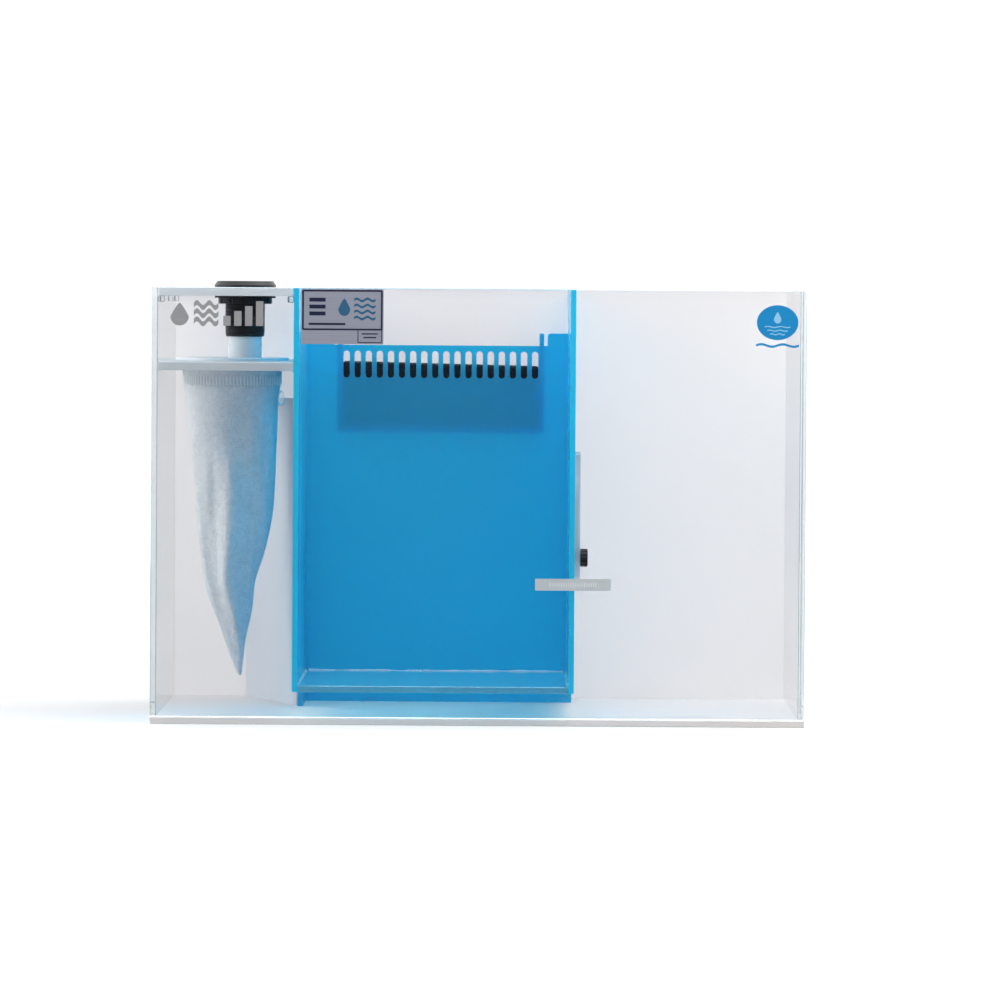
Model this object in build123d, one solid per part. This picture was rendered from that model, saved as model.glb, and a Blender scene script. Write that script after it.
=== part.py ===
"""Acrylic aquarium sump with a filter-sock chamber, a blue refugium box and a return chamber.

Frame: +X to the right, +Y to the back, +Z up. The origin is the centre of the tank's underside.
All sizes are in millimetres.
"""
from build123d import *
import math
import os

# ---------------------------------------------------------------- driving dimensions
LENGTH = 609.6          # tank, along X
WIDTH = 355.6           # tank, along Y
HEIGHT = 406.4          # tank, along Z
WALL = 6.0              # clear tank panels
SHEET = 5.0             # blue sheets
THICK = 8.0             # sock shelf and drain lid
WELD = 0.05             # cement line between glued sheets
EASE = 0.6              # eased edge of a cut sheet

# Places along X, Y and Z that several pieces share.
X_IN = LENGTH / 2 - WALL                 # inner face of each end panel
Y_FRONT = -WIDTH / 2 + WALL              # inner face of the front panel
Y_BACK = WIDTH / 2 - WALL                # inner face of the back panel
LEFT_X = -172.5                          # left face of the left partition
RIGHT_X = 85.2                           # left face of the right partition
BOX_X0 = LEFT_X + SHEET                  # inside of the refugium box
BOX_X1 = RIGHT_X
UNDERFLOW_Z = 30.0                       # lower edge of both partitions at the front
UNDERFLOW_Y = Y_FRONT + 180.0            # where the left partition's foot starts
COMB_Y = Y_FRONT + 268.0                 # front face of the comb panel
PORT_Z0 = 190.0                          # port from the sock chamber to the rear channel
PORT_Z1 = 262.0
PORT_R = 22.0

# Comb panel.
COMB_TOP = 351.5
COMB_SHOULDER_TOP = 363.7
COMB_SHOULDER = 25.8                     # width of the left shoulder
COMB_SHOULDER_RIGHT = 20.1
COMB_CORNER = 3.0
SLOT_COUNT = 18
SLOT_FIRST_X = -129.6
SLOT_PITCH = 10.74
SLOT_WIDTH = 6.1
SLOT_Z0 = 319.7
SLOT_Z1 = 345.8

# Foam tray behind the comb panel.
TRAY_X0 = -138.5
TRAY_X1 = 61.6
TRAY_SIDE = 4.3
TRAY_TOP = 363.5
TRAY_FLOOR_Z = 272.0
TRAY_HOLES_X = 9
TRAY_HOLES_Y = 3
TRAY_HOLE_R = 6.0
FOAM_GAP = 0.4                           # slack at each side of the foam block
FOAM_SETBACK = 12.0                      # from the comb panel to the foam block
FOAM_TOP_LEFT = 335.8
FOAM_TOP_RIGHT = 331.8
FOAM_DEPTH = 46.0

# Sock shelf, sock and its ring.
SHELF_Z = 328.8
SOCK_X = -236.4
SOCK_HOLE_R = 48.2
RING_FLANGE_R = 54.0
RING_INNER_R = 43.6
RING_COLLAR_R = 45.6
RING_THICK = 2.7
RING_COLLAR_Z = 321.5
BAG_WALL = 2.0
BAG_TIP_MIN = 1.5                        # smallest half width of the hollow inside the bag

# Diagonal baffle in the rear corner of the sock chamber.
BAFFLE_X = -228.0                        # where it meets the back panel
BAFFLE_Y = Y_FRONT + 190.0               # where it meets the left partition
BAFFLE_TOP = 300.0
BAFFLE_THICK = 4.0
BAFFLE_TRIM = 1.2                        # trimmed off each end for the cement

# Drain bulkhead in the lid.
LID_Z = HEIGHT - THICK
DRAIN_X = -224.4
PIPE_R = 16.0
PIPE_BORE_R = 13.6
PIPE_END_Z = 296.0
BARREL_R = 19.2
BARREL_Z = 359.6
FLANGE_R = 29.3
FLANGE_H = 6.0
SOCKET_R = 16.05
SOCKET_STOP_Z = 372.0
GASKET_R = 29.0
GASKET_H = 2.0
NUT_R = 25.6
NUT_H = 5.6
LID_HOLE_R = 19.6

# Gate on the right partition.
GATE_Y = Y_FRONT + 150.0
GATE_W = 76.0
GATE_Z0 = 132.0
GATE_Z1 = 251.0
GATE_TRAVEL = 70.0
GATE_PLATE = 5.0
GATE_SLOT_R = 3.3
WINDOW_W = 50.0
WINDOW_Z0 = 172.0
WINDOW_Z1 = 244.0
WINDOW_CORNER = 8.0
KNOB_Z = 151.2
KNOB_R = 8.5
KNOB_L = 7.4
SCREW_R = 3.0
INSERT_R = 4.2                            # threaded insert in the right partition
INSERT_SLACK = 0.05
FACE_GAP = 0.15                          # running clearance between sliding faces


# ---------------------------------------------------------------- helpers
def block(x0, x1, y0, y1, z0, z1):
    """A box between two corners."""
    centre = ((x0 + x1) / 2, (y0 + y1) / 2, (z0 + z1) / 2)
    return Pos(*centre) * Box(x1 - x0, y1 - y0, z1 - z0)


def sheet(x0, x1, y0, y1, z0, z1, ease=EASE):
    """A cut sheet: a box with every edge eased."""
    solid = block(x0, x1, y0, y1, z0, z1)
    return chamfer(solid.edges(), ease)


def rod(radius, x, y, z0, z1):
    """An upright cylinder from z0 to z1."""
    return Pos(x, y, (z0 + z1) / 2) * Cylinder(radius, z1 - z0)


def tube(outer, inner, x, y, z0, z1):
    """An upright tube from z0 to z1."""
    return rod(outer, x, y, z0, z1) - rod(inner, x, y, z0 - 1, z1 + 1)


def rod_x(radius, y, z, x0, x1):
    """A cylinder along X from x0 to x1."""
    return Pos((x0 + x1) / 2, y, z) * Rot(0, 90, 0) * Cylinder(radius, x1 - x0)


def stadium_x(y, z0, z1, radius, x0, x1):
    """An upright round-ended slot cutter that runs along X."""
    body = block(x0, x1, y - radius, y + radius, z0 + radius, z1 - radius)
    return body + rod_x(radius, y, z0 + radius, x0, x1) + rod_x(radius, y, z1 - radius, x0, x1)


def stadium_y(x, z0, z1, radius, y0, y1):
    """An upright round-ended slot cutter that runs along Y."""
    body = block(x - radius, x + radius, y0, y1, z0 + radius, z1 - radius)
    for z in (z0 + radius, z1 - radius):
        body += Pos(x, (y0 + y1) / 2, z) * Rot(90, 0, 0) * Cylinder(radius, y1 - y0)
    return body


# ---------------------------------------------------------------- tank
def bottom_panel():
    return sheet(-LENGTH / 2, LENGTH / 2, -WIDTH / 2, WIDTH / 2, 0, WALL)


def long_panel(y0, y1):
    """The front or back panel, full length, standing on the bottom panel."""
    return sheet(-LENGTH / 2, LENGTH / 2, y0, y1, WALL + WELD, HEIGHT)


def end_panel(x0, x1):
    """A left or right panel between the front and back panels."""
    return sheet(x0, x1, Y_FRONT + WELD, Y_BACK - WELD, WALL + WELD, HEIGHT)


# ---------------------------------------------------------------- refugium box
def partition(x0, foot_y):
    """A full-height blue sheet with its lower edge raised in front of foot_y."""
    body = block(x0, x0 + SHEET, Y_FRONT + WELD, Y_BACK - WELD, WALL + WELD, HEIGHT)
    body -= block(x0 - 1, x0 + SHEET + 1, Y_FRONT - 1, foot_y, 0, UNDERFLOW_Z)
    return body


def left_partition():
    """The partition beside the sock chamber, with the port that feeds the rear channel."""
    port_y = (COMB_Y + SHEET + Y_BACK) / 2
    port = stadium_x(port_y, PORT_Z0, PORT_Z1, PORT_R, LEFT_X - 1, BOX_X0 + 1)
    return partition(LEFT_X, UNDERFLOW_Y) - port


def right_partition():
    """The partition beside the return chamber, with the gate window and the hole for the threaded insert."""
    body = partition(RIGHT_X, COMB_Y)
    half = WINDOW_W / 2
    window = block(RIGHT_X - 1, RIGHT_X + SHEET + 1, GATE_Y - half, GATE_Y + half, WINDOW_Z0, WINDOW_Z1)
    window = fillet(window.edges().filter_by(Axis.X), WINDOW_CORNER)
    insert = rod_x(INSERT_R + WELD, GATE_Y, KNOB_Z, RIGHT_X - 1, RIGHT_X + SHEET + 1)
    return body - window - insert


def comb_panel():
    """The rear wall of the refugium, with a lowered top edge and a row of overflow slots."""
    y0, y1 = COMB_Y, COMB_Y + SHEET
    x0, x1 = BOX_X0 + WELD, BOX_X1 - WELD
    body = block(x0, x1, y0, y1, WALL + WELD, COMB_SHOULDER_TOP)
    drop = block(x0 + COMB_SHOULDER, x1 - COMB_SHOULDER_RIGHT, y0 - 1, y1 + 1, COMB_TOP, COMB_SHOULDER_TOP + 1)
    body -= drop
    tops = body.edges().filter_by(Axis.Y).group_by(Axis.Z)[-1].sort_by(Axis.X)
    body = fillet([tops[1], tops[2]], COMB_CORNER)
    for i in range(SLOT_COUNT):
        x = SLOT_FIRST_X + i * SLOT_PITCH
        body -= stadium_y(x, SLOT_Z0, SLOT_Z1, SLOT_WIDTH / 2, y0 - 1, y1 + 1)
    return body


def refugium_floor():
    z1 = UNDERFLOW_Z + WALL
    return sheet(BOX_X0 + WELD, BOX_X1 - WELD, Y_FRONT + WELD, COMB_Y - WELD, UNDERFLOW_Z, z1)


def tray_side(x0):
    y0 = COMB_Y + SHEET + WELD
    return sheet(x0, x0 + TRAY_SIDE, y0, Y_BACK - WELD, TRAY_FLOOR_Z - SHEET, TRAY_TOP)


def tray_floor():
    """The perforated plate that the foam block rests on."""
    x0, x1 = TRAY_X0 + TRAY_SIDE + WELD, TRAY_X1 - TRAY_SIDE - WELD
    y0, y1 = COMB_Y + SHEET + WELD, Y_BACK - WELD
    body = block(x0, x1, y0, y1, TRAY_FLOOR_Z - SHEET, TRAY_FLOOR_Z)
    for i in range(TRAY_HOLES_X):
        for j in range(TRAY_HOLES_Y):
            x = x0 + (i + 0.5) * (x1 - x0) / TRAY_HOLES_X
            y = y0 + (j + 0.5) * (y1 - y0) / TRAY_HOLES_Y
            body -= rod(TRAY_HOLE_R, x, y, TRAY_FLOOR_Z - SHEET - 1, TRAY_FLOOR_Z + 1)
    return body


def foam_block():
    """A loose open-cell block whose top was cut slightly out of square."""
    x0, x1 = TRAY_X0 + TRAY_SIDE + FOAM_GAP, TRAY_X1 - TRAY_SIDE - FOAM_GAP
    y0 = COMB_Y + SHEET + FOAM_SETBACK
    outline = Polyline(
        (x0, TRAY_FLOOR_Z), (x1, TRAY_FLOOR_Z), (x1, FOAM_TOP_RIGHT), (x0, FOAM_TOP_LEFT), close=True
    )
    face = make_face(Plane.XZ * outline)
    return Pos(0, y0 + FOAM_DEPTH, 0) * extrude(face, FOAM_DEPTH)


# ---------------------------------------------------------------- sock chamber
def sock_shelf():
    x0, x1 = -X_IN + WELD, LEFT_X - WELD
    body = sheet(x0, x1, Y_FRONT + WELD, Y_BACK - WELD, SHELF_Z, SHELF_Z + THICK)
    return body - rod(SOCK_HOLE_R, SOCK_X, 0, SHELF_Z - 1, SHELF_Z + THICK + 1)


def diagonal_baffle():
    """A clear sheet across the rear corner of the sock chamber, with its ends cut to the walls."""
    back, side = Y_BACK - BAFFLE_TRIM, LEFT_X - BAFFLE_TRIM
    along_x = BAFFLE_THICK * math.hypot(side - BAFFLE_X, back - BAFFLE_Y) / (back - BAFFLE_Y)
    along_y = BAFFLE_THICK * math.hypot(side - BAFFLE_X, back - BAFFLE_Y) / (side - BAFFLE_X)
    corners = [(BAFFLE_X, back), (side, BAFFLE_Y), (side, BAFFLE_Y + along_y), (BAFFLE_X + along_x, back)]
    face = make_face(Polyline(*corners, close=True))
    return Pos(0, 0, WALL + WELD) * extrude(face, BAFFLE_TOP - WALL)


def lid_ledge(x0, x1):
    """A strip under each end of the lid, split so that the lid rests on four short lengths."""
    run, inset = 60.0, 4.0
    z0, z1 = LID_Z - 6.0, LID_Z - WELD
    front = sheet(x0, x1, Y_FRONT + inset, Y_FRONT + inset + run, z0, z1)
    back = sheet(x0, x1, Y_BACK - inset - run, Y_BACK - inset, z0, z1)
    return Compound(children=[front, back])


def sock_ring():
    """The moulded ring that hangs the sock from the shelf."""
    z0 = SHELF_Z + THICK
    flange = tube(RING_FLANGE_R, RING_INNER_R, SOCK_X, 0, z0, z0 + RING_THICK)
    collar = tube(RING_COLLAR_R, RING_INNER_R, SOCK_X, 0, RING_COLLAR_Z, z0 + 0.5)
    body = flange + collar
    rim = body.edges().filter_by(GeomType.CIRCLE).group_by(Axis.Z)[-1]
    return fillet(rim, 0.9)


# Cross-sections of the bag from the top down: height, centre along X, half width, half depth.
BAG_SECTIONS = [
    (321.0, SOCK_X, 47.6, 47.6),
    (281.7, -234.6, 43.6, 45.4),
    (241.5, -234.0, 40.9, 43.0),
    (194.7, -233.0, 39.0, 40.0),
    (166.9, -235.1, 34.0, 36.6),
    (138.3, -238.4, 27.6, 31.0),
    (107.7, -235.8, 19.6, 24.0),
    (81.8, -232.7, 12.2, 16.0),
    (54.1, -228.9, 6.4, 8.4),
    (34.0, -227.0, 2.0, 2.6),
]


def bag_loft(inset):
    """The bag's outer form, or its inner form when inset by the felt's thickness."""
    faces = []
    for z, x, half_width, half_depth in BAG_SECTIONS:
        if half_width - inset < BAG_TIP_MIN:
            continue
        ring = Pos(x, 0, z) * Ellipse(half_width - inset, half_depth - inset)
        faces.append(ring)
    return loft(faces, ruled=True)


def sock_bag():
    """The felt bag, open at the top, with a straight cuff round the ring's collar."""
    z0, z1 = BAG_SECTIONS[0][0], SHELF_Z + THICK - 0.2
    cuff = tube(RING_COLLAR_R + 0.05 + BAG_WALL, RING_COLLAR_R + 0.05, SOCK_X, 0, z0, z1)
    body = bag_loft(0) - bag_loft(BAG_WALL)
    return body + cuff


# ---------------------------------------------------------------- drain lid and bulkhead
def lid_plate():
    gap = 0.5
    x0, x1 = -X_IN + gap, LEFT_X - gap
    body = sheet(x0, x1, Y_FRONT + gap, Y_BACK - gap, LID_Z, HEIGHT)
    return body - rod(LID_HOLE_R, DRAIN_X, 0, LID_Z - 1, HEIGHT + 1)


def bulkhead_body():
    """Flanged, threaded tail of the drain fitting, with a stepped socket for the hose pipe."""
    z0 = HEIGHT + WELD
    flange = Pos(DRAIN_X, 0, z0 + FLANGE_H / 2) * Cylinder(FLANGE_R, FLANGE_H)
    top = flange.edges().group_by(Axis.Z)[-1]
    flange = chamfer(top, 4.0, 2.6)
    barrel = rod(BARREL_R - 0.9, DRAIN_X, 0, BARREL_Z, z0 + 1)
    barrel = chamfer(barrel.edges().group_by(Axis.Z)[0], 0.7)
    body = flange + barrel
    pitch, thread_end = 2.2, LID_Z - GASKET_H
    count = int((thread_end - BARREL_Z - 6.0) / pitch)
    for i in range(count):
        z = thread_end - (i + 1) * pitch
        crest = Pos(DRAIN_X, 0, z) * Cone(BARREL_R, BARREL_R - 0.9, pitch / 2)
        root = Pos(DRAIN_X, 0, z - pitch / 2) * Cone(BARREL_R - 0.9, BARREL_R, pitch / 2)
        body += crest + root
    body -= rod(SOCKET_R, DRAIN_X, 0, SOCKET_STOP_Z + 4, HEIGHT + FLANGE_H + 1)
    body -= rod(PIPE_R + 0.05, DRAIN_X, 0, BARREL_Z - 1, SOCKET_STOP_Z)
    return body - rod(PIPE_BORE_R, DRAIN_X, 0, SOCKET_STOP_Z - 1, SOCKET_STOP_Z + 5)


def bulkhead_gasket():
    z1 = LID_Z - WELD
    return tube(GASKET_R, BARREL_R + 0.1, DRAIN_X, 0, z1 - GASKET_H, z1)


def bulkhead_nut():
    """The ribbed nut that clamps the fitting to the lid."""
    z1 = LID_Z - WELD - GASKET_H - WELD
    body = rod(NUT_R, DRAIN_X, 0, z1 - NUT_H, z1)
    body = chamfer(body.edges().group_by(Axis.Z)[0], 0.8)
    ribs, notch_r = 12, 2.2
    for i in range(ribs):
        angle = 2 * math.pi * i / ribs
        x = DRAIN_X + (NUT_R + 0.9) * math.cos(angle)
        body -= rod(notch_r, x, (NUT_R + 0.9) * math.sin(angle), z1 - NUT_H - 1, z1 + 1)
    return body - rod(BARREL_R + 0.06, DRAIN_X, 0, z1 - NUT_H - 1, z1 + 1)


def drain_pipe():
    body = tube(PIPE_R, PIPE_BORE_R, DRAIN_X, 0, PIPE_END_Z, SOCKET_STOP_Z - WELD)
    return chamfer(body.edges().filter_by(GeomType.CIRCLE).group_by(Axis.Z)[0], 0.5)


# ---------------------------------------------------------------- gate
GATE_X0 = RIGHT_X + SHEET + FACE_GAP
GATE_X1 = GATE_X0 + GATE_PLATE


def gate_plate():
    """The sliding plate that sets the refugium's overflow height."""
    half = GATE_W / 2
    body = sheet(GATE_X0, GATE_X1, GATE_Y - half, GATE_Y + half, GATE_Z0, GATE_Z1)
    z0 = KNOB_Z - GATE_SLOT_R
    return body - stadium_x(GATE_Y, z0, z0 + GATE_TRAVEL + 2 * GATE_SLOT_R, GATE_SLOT_R, GATE_X0 - 1, GATE_X1 + 1)


def gate_rail(side):
    """A guide strip in front of (side -1) or behind (side +1) the sliding plate."""
    wide = 7.0
    near = GATE_Y + side * (GATE_W / 2 + FACE_GAP * 2)
    far = near + side * wide
    x0 = RIGHT_X + SHEET + WELD
    return sheet(x0, x0 + GATE_PLATE + 1.0, min(near, far), max(near, far), GATE_Z0, GATE_Z1)


def gate_washer():
    x0 = GATE_X1 + WELD
    return rod_x(7.0, GATE_Y, KNOB_Z, x0, x0 + 1.0) - rod_x(SCREW_R + 0.2, GATE_Y, KNOB_Z, x0 - 1, x0 + 2)


def gate_knob():
    """A fluted thumb knob, bored for its screw."""
    x0 = GATE_X1 + 1.0 + 2 * WELD
    body = rod_x(KNOB_R, GATE_Y, KNOB_Z, x0, x0 + KNOB_L)
    body = chamfer(body.edges().filter_by(GeomType.CIRCLE), 0.8)
    flutes, flute_r, flute_out = 12, 1.3, 0.5
    for i in range(flutes):
        angle = 2 * math.pi * (i + 0.5) / flutes
        y = GATE_Y + (KNOB_R + flute_out) * math.cos(angle)
        z = KNOB_Z + (KNOB_R + flute_out) * math.sin(angle)
        body -= rod_x(flute_r, y, z, x0 - 1, x0 + KNOB_L + 1)
    return body - rod_x(SCREW_R + 0.02, GATE_Y, KNOB_Z, x0 - 1, x0 + KNOB_L - 2.0)


def gate_screw():
    """The screw moulded into the knob; it threads into the insert in the partition."""
    x1 = GATE_X1 + 1.0 + 2 * WELD + KNOB_L - 2.0 - WELD
    body = rod_x(SCREW_R, GATE_Y, KNOB_Z, RIGHT_X + 4 * WELD, x1)
    return chamfer(body.edges().filter_by(GeomType.CIRCLE), 0.4)


def gate_insert():
    """The threaded insert pressed flush into the right partition."""
    x0, x1 = RIGHT_X + WELD, RIGHT_X + SHEET - WELD
    body = rod_x(INSERT_R, GATE_Y, KNOB_Z, x0, x1)
    body = chamfer(body.edges().filter_by(GeomType.CIRCLE), 0.3)
    return body - rod_x(SCREW_R + INSERT_SLACK, GATE_Y, KNOB_Z, x0 - 1, x1 + 1)


# ---------------------------------------------------------------- labels on the front panel
LABEL_Y1 = -WIDTH / 2 - 0.02
LABEL_T = 0.25
LEVEL_STRIP = (53.5, 124.0, 126.3, 137.3, 0.8)       # X from and to, Z from and to, corner radius
INFO_LABEL = (-165.4, -89.0, 354.2, 405.4, 1.0)
CHAMBER_DECAL = (-289.0, -201.0, 370.6, 393.6, 2.0)
DISC_X = 277.2
DISC_Z = 376.8
DISC_HALF_W = 19.3
DISC_HALF_H = 16.2


def label(x0, x1, z0, z1, corner):
    """A thin foil label with rounded corners."""
    body = block(x0, x1, LABEL_Y1 - LABEL_T, LABEL_Y1, z0, z1)
    return fillet(body.edges().filter_by(Axis.Y), corner)


def maker_disc():
    """The oval badge near the right end, left plain."""
    face = Plane.XZ * Ellipse(DISC_HALF_W, DISC_HALF_H)
    return Pos(DISC_X, LABEL_Y1, DISC_Z) * extrude(face, LABEL_T)


def export_all():
    """Builds every piece and writes one STEP file for each."""
    pieces = {
        "bottom_panel": bottom_panel(),
        "front_panel": long_panel(-WIDTH / 2, Y_FRONT),
        "back_panel": long_panel(Y_BACK, WIDTH / 2),
        "left_end_panel": end_panel(-LENGTH / 2, -X_IN),
        "right_end_panel": end_panel(X_IN, LENGTH / 2),
        "left_partition": left_partition(),
        "right_partition": right_partition(),
        "comb_panel": comb_panel(),
        "refugium_floor": refugium_floor(),
        "foam_tray_left": tray_side(TRAY_X0),
        "foam_tray_right": tray_side(TRAY_X1 - TRAY_SIDE),
        "foam_tray_floor": tray_floor(),
        "foam_block": foam_block(),
        "sock_shelf": sock_shelf(),
        "diagonal_baffle": diagonal_baffle(),
        "lid_ledge_left": lid_ledge(-X_IN + WELD, -X_IN + WALL),
        "lid_ledge_right": lid_ledge(LEFT_X - WALL, LEFT_X - WELD),
        "sock_ring": sock_ring(),
        "sock_bag": sock_bag(),
        "lid_plate": lid_plate(),
        "bulkhead_body": bulkhead_body(),
        "bulkhead_gasket": bulkhead_gasket(),
        "bulkhead_nut": bulkhead_nut(),
        "drain_pipe": drain_pipe(),
        "gate_plate": gate_plate(),
        "gate_rail_front": gate_rail(-1),
        "gate_rail_back": gate_rail(1),
        "gate_washer": gate_washer(),
        "gate_knob": gate_knob(),
        "gate_screw": gate_screw(),
        "gate_insert": gate_insert(),
        "level_strip": label(*LEVEL_STRIP),
        "info_label": label(*INFO_LABEL),
        "chamber_decal": label(*CHAMBER_DECAL),
        "maker_disc": maker_disc(),
    }
    os.makedirs("parts", exist_ok=True)
    for name, shape in pieces.items():
        export_step(shape, f"parts/{name}.step")
        print(name, round(shape.volume, 1))


export_all()
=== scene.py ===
"""Looks of an acrylic aquarium sump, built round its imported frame.

The frame is +X right, +Y back, +Z up, in metres, with the origin under the tank's centre.
"""
import logging
import math
from contextlib import contextmanager
from dataclasses import dataclass
from enum import Enum
from typing import Callable, Dict, Iterator, Optional, Sequence, Tuple, Union

import bmesh
import bpy
from mathutils import Matrix, Vector, noise


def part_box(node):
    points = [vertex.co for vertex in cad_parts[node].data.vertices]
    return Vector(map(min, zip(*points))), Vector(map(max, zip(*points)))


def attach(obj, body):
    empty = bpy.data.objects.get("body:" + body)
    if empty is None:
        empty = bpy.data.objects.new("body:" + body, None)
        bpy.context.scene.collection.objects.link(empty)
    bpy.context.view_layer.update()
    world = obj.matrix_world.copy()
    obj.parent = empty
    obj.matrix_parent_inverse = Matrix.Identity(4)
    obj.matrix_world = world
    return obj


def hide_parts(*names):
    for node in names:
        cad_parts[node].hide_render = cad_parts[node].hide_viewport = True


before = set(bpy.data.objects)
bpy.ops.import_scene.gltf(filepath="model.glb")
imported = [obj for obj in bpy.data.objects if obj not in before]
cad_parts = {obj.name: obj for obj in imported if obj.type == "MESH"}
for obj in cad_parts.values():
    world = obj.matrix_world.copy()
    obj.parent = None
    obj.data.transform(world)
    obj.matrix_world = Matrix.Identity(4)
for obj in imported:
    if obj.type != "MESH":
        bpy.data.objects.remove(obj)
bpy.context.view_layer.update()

log = logging.getLogger("sump")
Colour = Tuple[float, float, float]
Place = Tuple[float, float, float]
Piece = bpy.types.Object
Socket = bpy.types.NodeSocket


class Body(Enum):
    """Rigid bodies of the frame that new pieces ride on."""

    TANK = "tank"
    LID = "drain_lid"
    SOCK = "filter_sock"
    FOAM = "foam"


# ---------------------------------------------------------------- shader helpers
class Nodes:
    """A thin wrapper that adds and links nodes of one node tree."""

    def __init__(self, tree: bpy.types.NodeTree) -> None:
        """Keeps the tree.

        Args:
            tree: The node tree that nodes are added to.
        """
        self.tree = tree

    def add(self, kind: str, values: Optional[dict] = None, **settings: object) -> bpy.types.Node:
        """Adds a node.

        Args:
            kind: The node's type name, without the ShaderNode prefix.
            values: Input names or numbers, each with a constant or a socket to link.
            settings: Properties set on the node itself.

        Returns:
            The new node.
        """
        prefix = "Node" if kind in ("GroupInput", "GroupOutput") else "ShaderNode"
        node = self.tree.nodes.new(prefix + kind)
        for name, value in settings.items():
            setattr(node, name, value)
        for key, value in (values or {}).items():
            socket = node.inputs[key]
            if isinstance(value, Socket):
                self.tree.links.new(value, socket)
            else:
                socket.default_value = value
        return node

    def maths(self, operation: str, *terms: Union[float, Socket]) -> Socket:
        """Adds a Math node.

        Args:
            operation: The node's operation, such as MULTIPLY.
            terms: Numbers or sockets for its inputs.

        Returns:
            The node's output socket.
        """
        node = self.add("Math", dict(enumerate(terms)), operation=operation)
        return node.outputs[0]

    def ramp(self, factor: Socket, stops: Sequence[Tuple[float, float]]) -> Socket:
        """Adds a grey Color Ramp.

        Args:
            factor: The socket that drives it.
            stops: Pairs of position and grey value.

        Returns:
            The ramp's colour output.
        """
        node = self.add("ValToRGB", {"Fac": factor})
        ramp = node.color_ramp
        while len(ramp.elements) < len(stops):
            ramp.elements.new(0.5)
        for element, (place, grey) in zip(ramp.elements, stops):
            element.position = place
            element.color = (grey, grey, grey, 1.0)
        return node.outputs["Color"]

    def dents(self, height: Socket, strength: float, depth: float) -> Socket:
        """Adds a Bump node.

        Args:
            height: The height over the surface, 0 to 1.
            strength: How strongly it shows.
            depth: The height, in metres, that 1 stands for.

        Returns:
            The bent normal.
        """
        return self.add("Bump", {"Height": height, "Strength": strength, "Distance": depth}).outputs[0]

    def eased(self, value: Socket, span: Sequence[float],
              levels: Sequence[float]) -> Socket:
        """Maps a value smoothly from one span to another.

        Args:
            value: The socket to map.
            span: The values at which the rise starts and ends.
            levels: What comes out before and after the rise.

        Returns:
            The mapped value.
        """
        ends = {"From Min": span[0], "From Max": span[1], "To Min": levels[0], "To Max": levels[1]}
        return self.add("MapRange", {"Value": value, **ends}, interpolation_type="SMOOTHSTEP").outputs[0]

    def blend(self, factor: Union[float, Socket], low: Sequence[float], high: Sequence[float]) -> Socket:
        """Adds a colour Mix node.

        Args:
            factor: A number or socket.
            low: Colour at factor 0.
            high: Colour at factor 1.

        Returns:
            The mixed colour.
        """
        node = self.add("Mix", data_type="RGBA")
        pairs = ((0, factor), (6, low), (7, high))
        for index, value in pairs:
            if isinstance(value, Socket):
                self.tree.links.new(value, node.inputs[index])
            else:
                node.inputs[index].default_value = value if index == 0 else (*value, 1.0)
        return node.outputs[2]


def built_once(make: Callable) -> Callable:
    """Wraps a method so that its node group is built the first time that it is asked for, and kept.

    Args:
        make: The method that builds the group.

    Returns:
        The wrapped method.
    """
    def get(self: "EffectGroups") -> bpy.types.NodeTree:
        """Gives the kept group."""
        if make.__name__ not in self.made:
            make(self)
        return self.made[make.__name__]
    return get


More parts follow.
